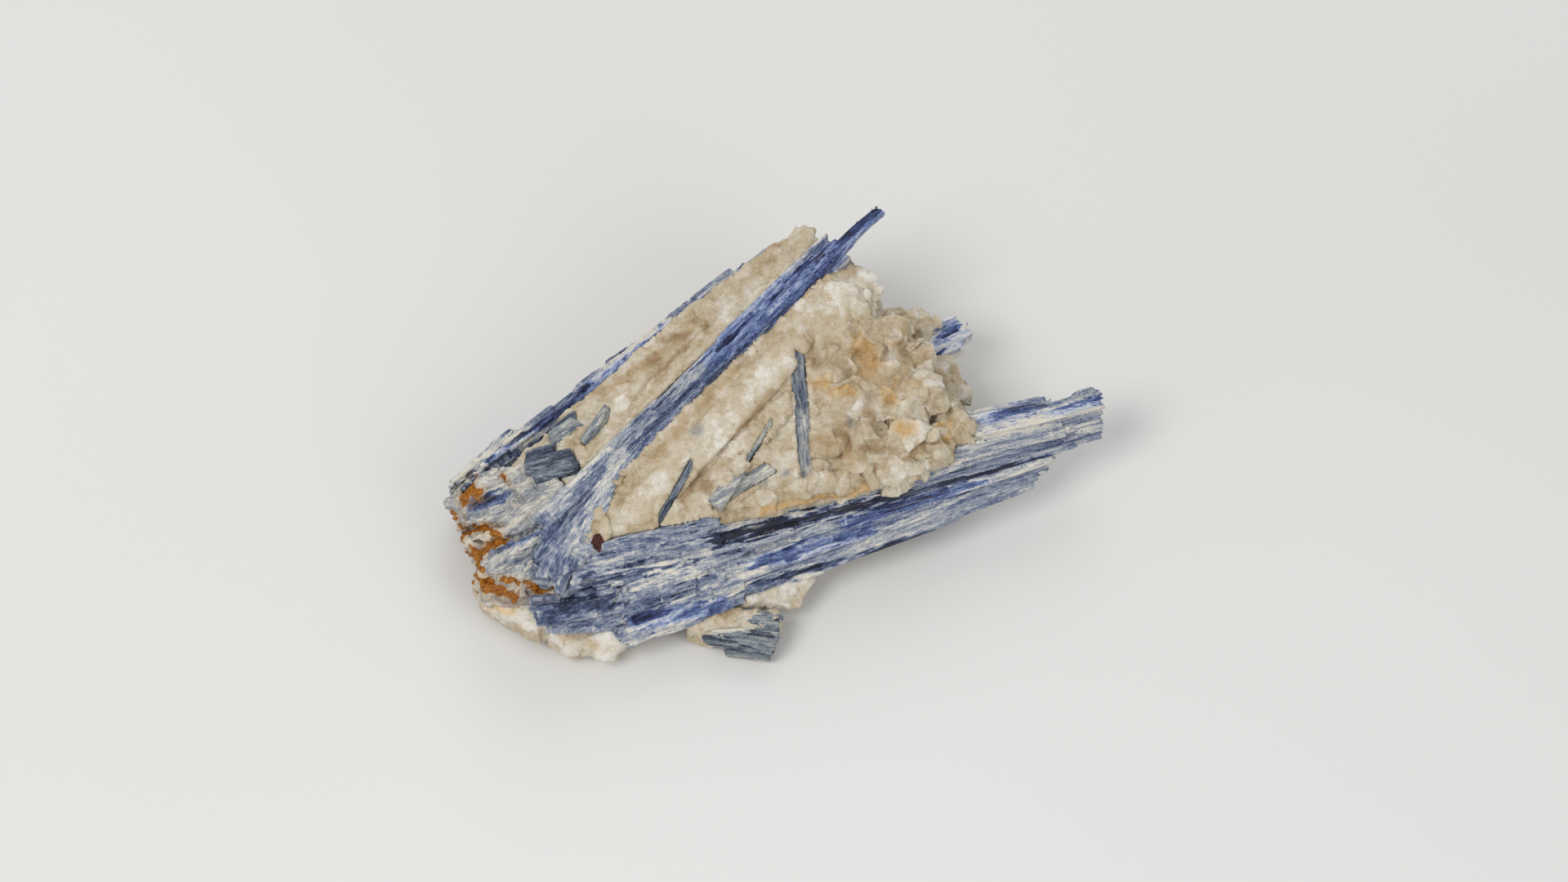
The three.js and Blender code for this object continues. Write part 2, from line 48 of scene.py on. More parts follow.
# The view: lens, distance and angle that give the photograph's perspective.
PHOTO_WIDTH, PHOTO_HEIGHT = 1920, 1080
LENS, SENSOR = 85.0, 36.0
ELEVATION = math.radians(60)
DISTANCE = 0.725
LOOK_AT = Vector((0.0017, -0.0014, 0.018))
BACK = Vector((0, -math.cos(ELEVATION), math.sin(ELEVATION)))
EYE = LOOK_AT + BACK * DISTANCE
# Millimetres on the specimen for one pixel of the photograph.
PIXEL = 0.16

# The blades' places below are in millimetres from the model's own centre, which lies this far from the row's.
CENTRE = np.array((1.697, -1.398, 0.0))
# Mesh steps in millimetres.
QUARTZ_STEP, CRYSTAL_STEP, SMALL_STEP, GRAIN_STEP = 0.31, 0.26, 0.2, 0.1
# Most triangles that a skin keeps, the share taken from where nothing shows, and the rings spared around that.
MOST_TRIANGLES = 185000
HIDDEN_CUT = 0.93
SPARED_RINGS = 4
# How far a fit gap reaches, in millimetres, and the height and slope under which a point rests on the floor.
CONTACT = 0.75
RESTING_HEIGHT, RESTING_SLOPE = 0.12, -0.9
# How far the quartz closes on a crystal, how high it rises up it, and how far off the rise starts, in
# millimetres.
CLOSING = 0.36
CREEP = 0.75
CREEP_REACH = 4


def linear(*screen):
    """A screen colour from 0 to 255 as a linear colour with alpha."""
    return (*(((c / 255 + 0.055) / 1.055) ** 2.4 if c > 10 else c / 255 / 12.92 for c in screen), 1.0)


# Each blade: where its axis starts and ends, and the way its broad face looks.
BLADES = {
    "long_blade": ((-40.7, -18.8, 24), (11.3, 35.7, 34), (0, 0, 1)),
    "edge_blade": ((-59, -7.4, 16), (-1.6, 37.6, 28), (0, 0, 1)),
    "lower_bundle": ((-40.4, -35.8, 15), (56.7, 2, 16), (0, -0.743, 0.669)),
    "right_stub": ((22.4, 20.6, 15), (36.7, 28.2, 15), (0, -0.35, 1)),
    "lower_stub": ((-17.4, -34.2, 6.4), (-1.3, -36.4, 6.4), (0, -0.3, 1)),
    "upright_blade": ((4.7, -12.8, 23.4), (2.7, 13.3, 29.5), (0.03, -0.18, 0.98)),
    "broken_blade": ((-14.2, -16.3, 23.5), (-3, -9.6, 25.7), (0.03, -0.18, 0.98)),
    "dark_sliver": ((-23.8, -20.6, 23.7), (-17.9, -10.6, 26.4), (0.03, -0.18, 0.98)),
    "thin_needle": ((-8.7, -11.5, 25.4), (-2.2, -0.8, 27.7), (0.03, -0.18, 0.98)),
    "pocket_block": ((-50, -9.4, 23), (-39.8, -7.4, 24.6), (-0.25, -0.35, 0.9)),
    "pocket_prism": ((-45.4, -2.8, 23), (-39.9, 0.8, 24.3), (-0.25, -0.35, 0.9)),
    "pocket_sliver": ((-39.3, -3.8, 24.4), (-35.2, 1.8, 26.3), (-0.25, -0.35, 0.9)),
    "root_cluster": ((-64, -18, 11.5), (-40, -9, 21), (-0.4, -0.1, 1)),
}
SLOTS = {part["node"]: part["material_slot"] for part in frame["record"]["subparts"]}

# How dark or pale a streak of kyanite is, from black-blue to cream; the darkest paints shadow.
TONES = {"black": -1.35, "navy": -1.0, "deep": -0.72, "blue": -0.38, "mid": -0.08, "grey": 0.28, "pale": 0.52,
         "cream": 0.82}
BASE_TONE = {"long_blade": 0.1, "edge_blade": -0.1, "lower_bundle": 0.34, "right_stub": 1.1, "lower_stub": 0.0,
             "upright_blade": 0.1, "broken_blade": 0.25, "dark_sliver": -0.1, "thin_needle": 0.55,
             "pocket_block": -0.3, "pocket_prism": 0.15, "pocket_sliver": 0.0, "root_cluster": 0.5}
# How far each crystal's blue leans to steel grey.
STEEL = {"lower_stub": 0.9, "upright_blade": 0.5, "broken_blade": 0.7, "dark_sliver": 0.7, "thin_needle": 0.8,
         "pocket_block": 0.8, "pocket_prism": 0.9, "pocket_sliver": 0.8, "root_cluster": 0.25}
# Streaks painted on the blades, with painted shadows among them: tone, half width and path, in pixels of the
# photograph.
STREAKS = {
    "long_blade": [
        ("blue", 9, (775, 545), (860, 472)),
        ("blue", 7, (860, 464), (900, 425), (950, 385), (992, 345), (1026, 310)),
        ("deep", 2.5, (868, 466), (930, 408), (992, 352), (1026, 316)),
        ("grey", 8, (1003, 300), (950, 350), (900, 400), (850, 450)),
        ("navy", 2.5, (985, 332), (930, 378), (880, 428)),
        ("deep", 2, (1010, 306), (960, 345)),
        ("grey", 8, (800, 488), (760, 528), (722, 565)),
        # Painted shadow: the thin dark line along the ridge between the blade's two faces.
        ("navy", 1.4, (872, 430), (800, 502), (738, 548), (708, 578)),
        ("grey", 14, (664, 655), (692, 622)),
        ("pale", 12, (755, 560), (735, 610), (712, 660)),
        ("mid", 4, (672, 662), (690, 632)),
        ("mid", 5, (742, 560), (722, 600), (708, 640)),
        ("cream", 1.6, (733, 590), (712, 640)),
        ("blue", 8, (1034, 292), (1072, 256)),
        ("navy", 4, (1040, 286), (1044, 282)),
        ("navy", 5, (1068, 258), (1071, 255)),
        ("navy", 4, (1008, 312), (1000, 320)),
    ],
    "edge_blade": [
        ("cream", 15, (556, 595), (610, 550), (640, 536)),
        ("cream", 9, (736, 456), (770, 426), (812, 396)),
        ("grey", 3, (580, 572), (632, 540)),
        ("grey", 5, (700, 478), (800, 398), (940, 298)),
        ("navy", 3.2, (604, 562), (640, 532), (700, 492), (780, 430), (860, 370), (930, 315)),
        ("blue", 4, (600, 588), (640, 555), (680, 526)),
    ],
    "lower_bundle": [
        ("grey", 10, (700, 705), (745, 690), (800, 680)),
        ("mid", 5, (742, 676), (810, 660), (852, 652)),
        ("grey", 8, (820, 662), (880, 650)),
        ("deep", 5.5, (718, 712), (760, 706), (850, 688)),
        ("pale", 3, (676, 735), (740, 727), (765, 718)),
        ("cream", 8, (772, 726), (842, 702)),
        ("grey", 12, (745, 745), (755, 728)),
        ("mid", 5, (662, 764), (720, 760)),
        ("grey", 6, (790, 728), (840, 715)),
        ("cream", 3.5, (765, 762), (806, 744), (868, 720)),
        ("deep", 4, (800, 746), (846, 724)),
        ("blue", 8, (846, 748), (880, 740)),
        ("mid", 6, (895, 742), (930, 730)),
        ("grey", 7, (868, 694), (914, 676)),
        ("pale", 6, (880, 712), (930, 696)),
        ("cream", 3.5, (868, 732), (925, 712), (1000, 690)),
        ("cream", 3, (930, 700), (1004, 672)),
        ("blue", 5.5, (930, 690), (1000, 668), (1062, 648)),
        ("blue", 5, (926, 714), (966, 703)),
        ("pale", 6, (948, 652), (1012, 636), (1048, 626)),
        ("blue", 6, (1040, 640), (1130, 612), (1200, 592)),
        ("cream", 5, (1082, 650), (1130, 630), (1184, 608)),
        ("pale", 5, (1042, 668), (1082, 654)),
        ("deep", 4, (1062, 678), (1100, 665), (1142, 649)),
        ("deep", 4, (958, 706), (1022, 690)),
        ("grey", 7, (1184, 612), (1262, 582)),
        ("cream", 3, (1112, 586), (1172, 566)),
        ("pale", 8, (1130, 572), (1204, 545)),
        ("mid", 4, (1130, 562), (1182, 552)),
        ("cream", 18, (1195, 532), (1270, 516), (1346, 505)),
        ("pale", 10, (1206, 504), (1214, 532)),
        ("cream", 6, (1200, 536), (1282, 520)),
        ("blue", 6.5, (1223, 510), (1278, 496)),
        ("deep", 3, (1226, 505), (1270, 494)),
        ("grey", 6, (1204, 552), (1284, 534)),
        ("blue", 5.5, (1296, 499), (1346, 488)),
        ("deep", 2.5, (1300, 495), (1344, 484)),
        ("pale", 5, (1296, 520), (1346, 509)),
        ("mid", 5, (1292, 544), (1346, 530)),
        ("blue", 9, (672, 748), (700, 744), (738, 737)),
        ("deep", 6, (692, 743), (736, 736)),
        ("deep", 5, (780, 761), (815, 750)),
        ("navy", 1.6, (784, 757), (812, 748)),
        # Painted shadow: the dark crevice under the quartz's lip, along the top of the bundle.
        ("navy", 7.5, (882, 660), (960, 642), (1040, 622), (1112, 604)),
        ("black", 4, (890, 657), (960, 640), (1040, 620), (1104, 604)),
        ("deep", 3, (1110, 606), (1180, 586), (1290, 556)),
        ("black", 1.8, (1158, 590), (1238, 570)),
    ],
    "right_stub": [
        ("grey", 5, (1150, 402), (1172, 394)),
        ("blue", 6, (1168, 402), (1186, 400)),
        ("cream", 3.5, (1138, 421), (1166, 416)),
        ("deep", 3.5, (1148, 436), (1184, 423)),
    ],
    "lower_stub": [
        ("cream", 2.5, (870, 774), (940, 768)),
        ("navy", 3, (925, 774), (944, 778)),
        ("deep", 1.4, (860, 780), (900, 786)),
        ("navy", 1.2, (880, 790), (940, 794)),
        # Painted shade on the stub's end face.
        ("black", 2.2, (951, 758), (947, 798)),
    ],
    "upright_blade": [
        ("blue", 5, (979, 474), (984, 504)),
        ("pale", 3, (974, 440), (976, 470)),
        ("grey", 9, (985, 520), (986, 545)),
        ("mid", 8, (986, 552), (990, 574)),
        ("pale", 8, (990, 584), (991, 596)),
    ],
    "root_cluster": [
        ("pale", 14, (560, 600), (556, 625)),
        ("blue", 9, (576, 617), (612, 612)),
        ("navy", 5.5, (582, 614), (600, 611)),
        ("grey", 7, (580, 632), (630, 622)),
        ("mid", 7, (610, 672), (672, 652)),
        ("grey", 9, (600, 690), (650, 680)),
        ("mid", 4, (612, 690), (640, 686)),
        ("mid", 5, (655, 702), (668, 664)),
        ("pale", 3, (672, 700), (682, 668)),
        ("grey", 6, (640, 610), (672, 600)),
        ("pale", 7, (640, 630), (668, 618)),
        ("cream", 5, (596, 655), (630, 640)),
    ],
    "pocket_block": [("deep", 4, (650, 572), (700, 556)), ("mid", 4, (655, 585), (695, 572))],
    "broken_blade": [("mid", 6, (882, 590), (900, 575)), ("grey", 5, (900, 600), (930, 590))],
}
# Where the blue is purest: half width and path.
ROYAL = {
    "long_blade": [(18, (880, 430), (1075, 250))],
    "lower_bundle": [
        (13, (1215, 512), (1285, 496)), (12, (1295, 502), (1350, 488)), (9, (930, 690), (1060, 650)),
        (7, (1040, 640), (1200, 592)), (8, (780, 761), (880, 740)),
    ],
    "right_stub": [(20, (1150, 405), (1190, 405))],
    "edge_blade": [(6, (604, 562), (700, 492), (860, 370))],
    "root_cluster": [(10, (576, 617), (612, 612)), (7, (620, 668), (672, 652))],
}
# Iron rust on the broken root: half width and path.
RUST = [
    (7, (573, 596), (568, 612)), (5, (588, 602), (580, 602)), (8.5, (563, 643), (567, 654)),
    (5.5, (575, 650), (592, 645), (610, 656)), (7.5, (574, 680), (588, 678), (614, 664)),
    (4.5, (586, 690), (591, 696)), (5, (583, 704), (596, 714)), (8.5, (596, 718), (614, 723), (628, 730)),
    (5, (618, 710), (645, 712), (662, 716)), (8, (656, 722), (674, 718)), (2.8, (616, 583), (622, 592)),
    (1.8, (625, 596), (641, 614)),
]
# Stains, clear patches and frosted patches of the quartz, with painted shade under a ledge and on a step and
# painted light on the low lumps among them: kind, half width and path.
QUARTZ_PATCHES = [
    ("brown", 5, (947, 478), (915, 516), (880, 558), (850, 590)),
    ("brown", 6, (868, 574), (838, 606), (812, 645)), ("brown", 9, (806, 447), (800, 436)),
    ("brown", 8, (812, 416), (842, 410)), ("tan", 9, (740, 482), (852, 396)),
    # The thin brown stroke that starts this line is painted shade under the slab's ledge.
    ("brown", 3.5, (775, 488), (832, 432), (866, 400)), ("brown", 6, (938, 408), (985, 358)),
    ("brown", 8, (892, 446), (914, 440)), ("tan", 6, (800, 560), (850, 505), (900, 455)),
    ("amber", 14, (1110, 526), (1104, 516)), ("amber", 17, (1056, 426), (1066, 442)),
    ("amber", 5, (1165, 518), (1160, 538)), ("amber", 10, (1085, 480), (1095, 490)),
    ("amber", 8, (1135, 505), (1150, 520)), ("amber", 9, (1000, 470), (1040, 478)),
    ("brown", 8, (1037, 536), (1040, 546)), ("brown", 6.5, (1058, 549), (1092, 552)),
    ("brown", 10, (1062, 497), (1068, 510)), ("brown", 11, (994, 432), (998, 446)),
    ("brown", 4, (1010, 521), (1013, 522)), ("brown", 8, (856, 592), (866, 600)),
    ("tan", 9, (1012, 580), (1020, 582)), ("brown", 7, (884, 626), (890, 628)),
    ("rusty", 3.5, (1070, 577), (1086, 561)), ("tan", 10, (1104, 432), (1112, 440)),
    ("amber", 6, (880, 642), (940, 622), (1000, 611), (1062, 598)), ("tan", 12, (1010, 540), (1050, 560)),
    ("tan", 14, (1060, 460), (1120, 470)), ("frost", 16, (745, 650), (830, 562), (960, 440)),
    ("frost", 22, (1000, 372), (1058, 352)), ("frost", 14, (885, 395), (985, 290)),
    ("frost", 14, (760, 500), (790, 470)), ("frost", 12, (870, 560), (905, 530)),
    ("frost", 12, (960, 560), (940, 620)), ("frost", 14, (1120, 570), (1090, 585)),
    # The two white patches paint the low lumps at the foot paler: painted light against their shade.
    ("frost", 10, (1150, 480), (1175, 500)), ("white", 36, (690, 785), (745, 795)),
    ("white", 22, (600, 745), (650, 762)), ("frost", 28, (930, 725), (980, 720)),
    ("slate", 6, (850, 531), (856, 524)), ("slate", 2.5, (1025, 555), (1000, 590)),
    ("slate", 5, (961, 580), (964, 578)), ("slate", 6, (930, 592), (934, 588)),
    ("slate", 6, (1040, 514), (1044, 520)), ("slate", 1.6, (880, 358), (918, 332)),
    ("amber", 9, (600, 742), (630, 752)), ("tan", 12, (690, 780), (730, 790)),
    ("rusty", 4, (598, 738), (606, 742)), ("rusty", 3, (690, 676), (695, 680)),
    # The first brown stroke below is painted shadow on the step under the ledge at the bundle's foot.
    ("brown", 5, (895, 748), (950, 752)), ("brown", 5, (690, 528), (640, 560)),
]
# Crumbled infill between the larger forms: depth in millimetres, then corners as photograph pixel and height.
INFILL = {
    "root_cluster": [
        (7, (614, 574, 18.6), (650, 566, 21.2), (686, 588, 22.4), (702, 606, 23.2), (694, 632, 22.6),
         (655, 640, 20), (628, 612, 19.2)),
        (6, (588, 690, 15.2), (640, 662, 19.2), (688, 640, 22), (690, 706, 21), (640, 708, 18),
         (604, 706, 14.5)),
        (6, (582, 694, 11), (600, 690, 13), (640, 715, 15.5), (650, 735, 12), (600, 735, 8.5),
         (584, 722, 8.5)),
    ],
    "long_blade": [
        (4, (662, 645, 22.8), (676, 620, 23.4), (690, 636, 23.0), (735, 560, 25.2), (768, 556, 25.6),
         (745, 618, 24.2), (712, 690, 22.4), (676, 706, 21.6), (660, 700, 20.6)),
        (2.4, (1012, 304, 33.8), (1028, 290, 34), (1066, 254, 34.6), (1073, 251, 34.6), (1079, 257, 34.4),
         (1060, 280, 34), (1035, 307, 33.6), (1018, 322, 33.4)),
    ],
    "edge_blade": [
        (5, (730, 462, 19.8), (742, 441, 20.4), (768, 425, 21.6), (790, 406, 22.4), (806, 396, 23),
         (822, 393, 24), (812, 410, 24), (790, 430, 23), (760, 455, 21.5), (740, 470, 20.2)),
    ],
    "broken_blade": [(1.4, (868, 612, 25.3), (882, 622, 25.2), (914, 577, 26.2), (898, 568, 26.4))],
    "quartz_matrix": [
        (5, (838, 768, 6.5), (870, 764, 7.2), (900, 748, 8.2), (950, 748, 7.6), (952, 764, 6.2),
         (900, 770, 5.6), (860, 778, 4.8)),
        (6, (700, 520, 22.5), (740, 478, 24), (735, 520, 23.4), (700, 560, 22.8), (655, 560, 20.5),
         (640, 565, 19), (625, 572, 18.4)),
        (1.6, (895, 568, 25.7), (904, 581, 25.5), (915, 574, 25.8), (911, 560, 26.1), (899, 559, 26.1)),
        (5, (584, 728, 6), (600, 742, 6), (640, 757, 8), (660, 775, 8), (650, 740, 9), (610, 735, 8)),
    ],
}
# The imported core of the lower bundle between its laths: corners along and across it, and its lowest and
# highest side.
BUNDLE_CORE = ((-5, -3), (8, -7.5), (20, -9.5), (45, -9.5), (62, -7), (62, 2.5), (30, 6), (18, 8.5),
               (6, 9.5), (0, 7.5))
CORE_SIDES = (-5, -0.9)
# A broken lath that fills the step in the middle of the bundle, in the same terms.
BUNDLE_FILL = ((26, -1), (46, 0.3), (46, 2.2), (26, 3))
FILL_SIDES = (-3, 0.9)
# Cracks and step edges: depth in millimetres, half width and path.
CRACKS = {
    "root_cluster": [
        (1.1, 2.5, (582, 690), (612, 667), (650, 648), (690, 622)), (0.8, 2.2, (618, 586), (640, 615)),
    ],
    "lower_bundle": [
        (0.8, 2.4, (668, 738), (735, 729), (766, 715)), (0.7, 2.2, (766, 715), (748, 750)),
        (0.6, 2.0, (776, 757), (806, 742), (848, 724)), (0.5, 1.8, (852, 690), (857, 738)),
        (0.5, 1.8, (700, 703), (770, 692), (852, 678)), (0.5, 1.8, (770, 722), (772, 740)),
        (0.4, 1.6, (868, 734), (930, 714), (1010, 690)),
        (0.5, 1.8, (886, 664), (960, 648), (1060, 622), (1130, 602)),
    ],
}
# Healed fractures across the bundle, seen as fine pale lines: half width and path.
FRACTURES = {
    "lower_bundle": [
        (2.1, (916, 678), (925, 737)), (1.5, (892, 688), (894, 730)), (1.7, (1035, 630), (1039, 680)),
        (1.7, (856, 698), (859, 724)), (2.3, (1284, 492), (1288, 532)), (1.5, (808, 716), (812, 742)),
        (1.3, (830, 702), (834, 730)), (1.3, (960, 664), (966, 704)), (1.5, (1016, 622), (1019, 632)),
        (1.3, (1080, 626), (1086, 660)),
    ],
}
# Blades that lie flush in the quartz, and how far their faces are worn down to it.
FLUSH = ("upright_blade", "broken_blade")
FLUSH_WEAR = 0.45
# The smooth band across the quartz: half width and path.
SMOOTH_BAND = (26, (745, 650), (830, 562), (960, 440), (1010, 390))


def lattice(cells, seed):
    """A repeatable number from 0 to 1 for each whole-numbered cell."""
    c = cells.astype(np.int64)
    h = c[:, 0] * 73856093 ^ c[:, 1] * 19349663 ^ c[:, 2] * 83492791 ^ seed * 40503
    h = (h ^ (h >> 15)) * 2246822519 & 0xFFFFFFFF
    h = (h ^ (h >> 13)) * 3266489917 & 0xFFFFFFFF
    return ((h ^ (h >> 16)) & 0xFFFFFF) / 0xFFFFFF


def noise(points, seed, ramp=1.0):
    """Noise from -1 to 1. A ramp below 1, for all axes or for each, makes flat patches with steep borders."""
    base = np.floor(points)
    t = np.clip((points - base - 0.5) / ramp + 0.5, 0, 1)
    t = t * t * (3 - 2 * t)
    total = np.zeros(len(points))
    for corner in np.ndindex(2, 2, 2):
        share = np.prod(np.where(corner, t, 1 - t), axis=1)
        total += share * lattice(base + corner, seed)
    return 2 * total - 1


def fractal(points, seed, octaves=4):
    return sum(noise(points * 2**k, seed + k) * 0.5**k for k in range(octaves))


# Width of the seams between grains, as a share of a grain.
SEAM_WIDTH = 0.13


def grains(points, seed, crown=0.5, sharp=70):
    """Broken grains of unit size: height of each grain's tilted, crowned face, nearness of a seam, shade."""
    base = np.floor(points)
    near = np.full(len(points), 9.0)
    second = near.copy()
    height = np.zeros(len(points))
    shade = np.zeros(len(points))
    total = np.full(len(points), 1e-30)
    for step in np.ndindex(3, 3, 3):
        cell = base + step - 1
        place = np.stack([lattice(cell, seed + k) for k in range(3)], axis=1)
        tilt = np.stack([lattice(cell, seed + k) for k in range(3, 6)], axis=1) * 2 - 1
        offset = points - cell - place
        far = np.linalg.norm(offset, axis=1)
        second = np.minimum(second, np.maximum(near, far))
        near = np.minimum(near, far)
        share = np.exp(-sharp * far**2)
        height += share * ((offset * tilt).sum(axis=1) - crown * far**2)
        shade += share * lattice(cell, seed + 6)
        total += share
    return height / total, np.exp(-(((second - near) / SEAM_WIDTH) ** 2)), shade / total - 0.5


def smooth(low, high, x):
    t = np.clip((x - low) / (high - low), 0, 1)
    return t * t * (3 - 2 * t)


def photo_ray(px, py):
    """The direction in which the camera sees a pixel of the photograph."""
    k = SENSOR / LENS / PHOTO_WIDTH
    up = Vector((0, math.sin(ELEVATION), math.cos(ELEVATION)))
    return (Vector(((px - PHOTO_WIDTH / 2) * k, 0, 0)) + up * ((PHOTO_HEIGHT / 2 - py) * k) - BACK).normalized()


def on_surface(tree, px, py):
    """Where a pixel's ray meets a skin, or the skin's nearest point to it, in millimetres."""
    ray = photo_ray(px, py)
    hit = tree.ray_cast(EYE, ray)[0] or tree.find_nearest(EYE + ray * DISTANCE)[0]
    return np.array(hit) * 1000


def path_distance(points, path):
    """Distance from each point to a path of straight stretches."""
    best = np.full(len(points), 1e9)
    for a, b in zip(path, path[1:]):
        span = b - a
        t = np.clip((points - a) @ span / max(span @ span, 1e-9), 0, 1)
        best = np.minimum(best, np.linalg.norm(points - a - t[:, None] * span, axis=1))
    return best


def stroke(points, tree, wobble, half_width, *pixels, to_places=np.asarray, border=(0.8, 1.15)):
    """How fully a painted stroke covers each point, with an uneven border."""
    path = to_places(np.array([on_surface(tree, *pixel) for pixel in pixels]))
    reach = path_distance(points, path) / (half_width * PIXEL)
    return 1 - smooth(*border, reach * (1 + 0.5 * wobble))


def merged(names):
    """One search tree of several CAD nodes."""
    corners, faces = [], []
    for name in names:
        mesh = frame["nodes"][name].data
        faces += [[i + len(corners) for i in polygon.vertices] for polygon in mesh.polygons]
        corners += [v.co.copy() for v in mesh.vertices]
    return BVHTree.FromPolygons(corners, faces)


def arrays(mesh):
    """A mesh's points in millimetres and its normals."""
    points = np.empty(len(mesh.vertices) * 3, np.float32)
    normals = points.copy()
    mesh.vertices.foreach_get("co", points)
    mesh.vertices.foreach_get("normal", normals)
    return points.reshape(-1, 3).astype(float) * 1000, normals.reshape(-1, 3).astype(float)


def applied(piece):
    """Makes a piece's modifiers part of its mesh."""
    depsgraph = bpy.context.evaluated_depsgraph_get()
    mesh = bpy.data.meshes.new_from_object(piece.evaluated_get(depsgraph))
    piece.modifiers.clear()
    piece.vertex_groups.clear()
    piece.data = mesh


def thinned(piece):
    """Takes triangles from the flatter parts of a skin that has too many."""
    piece.data.calc_loop_triangles()
    count = len(piece.data.loop_triangles)
    if count > MOST_TRIANGLES:
        thin = piece.modifiers.new("fewer triangles", "DECIMATE")
        thin.ratio = MOST_TRIANGLES / count
        applied(piece)


def contact(mesh, others):
    """Which points face another piece across the fit gap, or rest on the floor, where nothing shows."""
    points, normals = arrays(mesh)
    hidden = np.zeros(len(points), bool)
    for i, (point, normal) in enumerate(zip(points / 1000, normals)):
        hidden[i] = others.ray_cast(Vector(point), Vector(normal), CONTACT / 1000)[0] is not None
    return hidden | (points[:, 2] < RESTING_HEIGHT) & (normals[:, 2] < RESTING_SLOPE)


def shown_rim(mesh, hidden, rings):
    """Takes the border rings of the hidden points back among the shown ones."""
    ends = np.empty(len(mesh.edges) * 2, np.int32)
    mesh.edges.foreach_get("vertices", ends)
    a, b = ends.reshape(-1, 2).T
    shown = ~hidden
    for _ in range(rings):
        grown = shown.copy()
        grown[a] |= shown[b]
        grown[b] |= shown[a]
        shown = grown
    return ~shown


def at_height(px, py, height):
    """Where a pixel's ray passes a height in millimetres, as a point in metres."""
    ray = photo_ray(px, py)
    return EYE + ray * ((height / 1000 - EYE.z) / ray.z)


def infill(node):
    """The corners of each infill solid of a node, in metres."""
    solids = []
    for depth, *corners in INFILL.get(node, ()):
        top = [at_height(*corner) for corner in corners]
        solids.append(top + [corner - Vector((0, 0, depth / 1000)) for corner in top])
    if node == "lower_bundle":
        start, axes = blade_axes(node)
        for outline, sides in ((BUNDLE_CORE, CORE_SIDES), (BUNDLE_FILL, FILL_SIDES)):
            places = [(along, across, out) for along, across in outline for out in sides]
            solids.append([Vector((start + np.array(place) @ axes) / 1000) for place in places])
    return solids


def skin(node, step):
    """A closed, evenly meshed copy of a CAD node with its infill, and few faces where nothing shows."""
    mesh = frame["nodes"][node].data.copy()
    welded = bmesh.new()
    welded.from_mesh(mesh)
    bmesh.ops.remove_doubles(welded, verts=welded.verts, dist=1e-7)
    for corners in infill(node):
        bmesh.ops.convex_hull(welded, input=[welded.verts.new(corner) for corner in corners])
    welded.to_mesh(mesh)
    welded.free()
    piece = bpy.data.objects.new(node + "_skin", mesh)
    mesh.materials.clear()
    scene.collection.objects.link(piece)
    remesh = piece.modifiers.new("even mesh", "REMESH")
    remesh.mode = "VOXEL"
    remesh.voxel_size = step / 1000
    applied(piece)
    others = merged(name for name in frame["nodes"] if name != node)
    hidden = shown_rim(piece.data, contact(piece.data, others), SPARED_RINGS)
    group = piece.vertex_groups.new(name="hidden")
    group.add([int(i) for i in np.nonzero(hidden)[0]], 1.0, "REPLACE")
    thin = piece.modifiers.new("thin where hidden", "DECIMATE")
    thin.ratio = 1 - HIDDEN_CUT * hidden.mean()
    thin.vertex_group = "hidden"
    thin.vertex_group_factor = 1.0
    applied(piece)
    return piece, contact(piece.data, others)


def moved(piece, points):
    """Sets a skin's points, in millimetres, none of them under the floor."""
    points = points.copy()
    points[:, 2] = np.maximum(points[:, 2], 0.0)
    piece.data.vertices.foreach_set("co", (points / 1000).astype(np.float32).ravel())
    piece.data.update()


def keep(piece, name, values):
    """Stores a number or a direction for each point, for the material to read."""
    many = values.ndim == 2
    layer = piece.data.attributes.new(name, "FLOAT_VECTOR" if many else "FLOAT", "POINT")
    layer.data.foreach_set("vector" if many else "value", values.astype(np.float32).ravel())


def blade_axes(node):
    start, end, face = (np.array(v, float) for v in BLADES[node])
    along = (end - start) / np.linalg.norm(end - start)
    across = np.cross(face, along)
    across /= np.linalg.norm(across)
    return start + CENTRE, np.stack([along, across, np.cross(along, across)])


# How laths splay: the line across the blade that they leave, how fast, and where along it they run parallel.
BUNDLE_SPLAY = (-4.85, 0.01187, 50)
FAN_SPLAY = (2.8, 0.035, 14)


def splayed(along, across, line, rate, parallel):
    return (across - line) * np.exp(rate * (along - parallel)) + line


def blade_places(node, points):
    """Each point's place along, across and out of its blade, following the splay of its laths."""
    start, axes = blade_axes(node)
    places = (points - start) @ axes.T
    along, across = places[:, 0], places[:, 1].copy()
    if node == "lower_bundle":
        places[:, 1] = splayed(along, across, *BUNDLE_SPLAY)
    if node == "long_blade":
        places[:, 1] = np.where(along < FAN_SPLAY[2], splayed(along, across, *FAN_SPLAY), across)
    if node == "root_cluster":
        places[:, 1] += 1.3 * fractal(points / 9, 61, 2)
        places[:, 2] += 0.9 * fractal(points / 7, 67, 2)
    return places


# How rough the larger crystals are, and the small ones, and the most of it that their broken ends take.
ROUGHNESS = {"long_blade": 0.75, "edge_blade": 1.8, "lower_bundle": 1.0, "root_cluster": 1.0, "right_stub": 1.0,
             "lower_stub": 0.7, "pocket_block": 0.5}
SMALL_ROUGHNESS = 0.3
MOST_SPLINTERED = 1.1
# Cleavage laths in a blade: length and width, the height of their steps, their steepness, and their change of
# tone.
LATHS = (((24, 3.0, 3.0), 0.5, (0.02, 0.09, 0.09), 0.34), ((12, 1.5, 1.5), 0.24, (0.03, 0.18, 0.18), 0.26),
         ((6, 0.7, 0.7), 0.1, (0.06, 0.4, 0.4), 0.16))
# How far neighbouring laths are shifted apart in the noise.
LATH_SHIFT = 0.37
# Height of a cleavage step that counts as one in the colour.
STEP_HEIGHT = 0.4
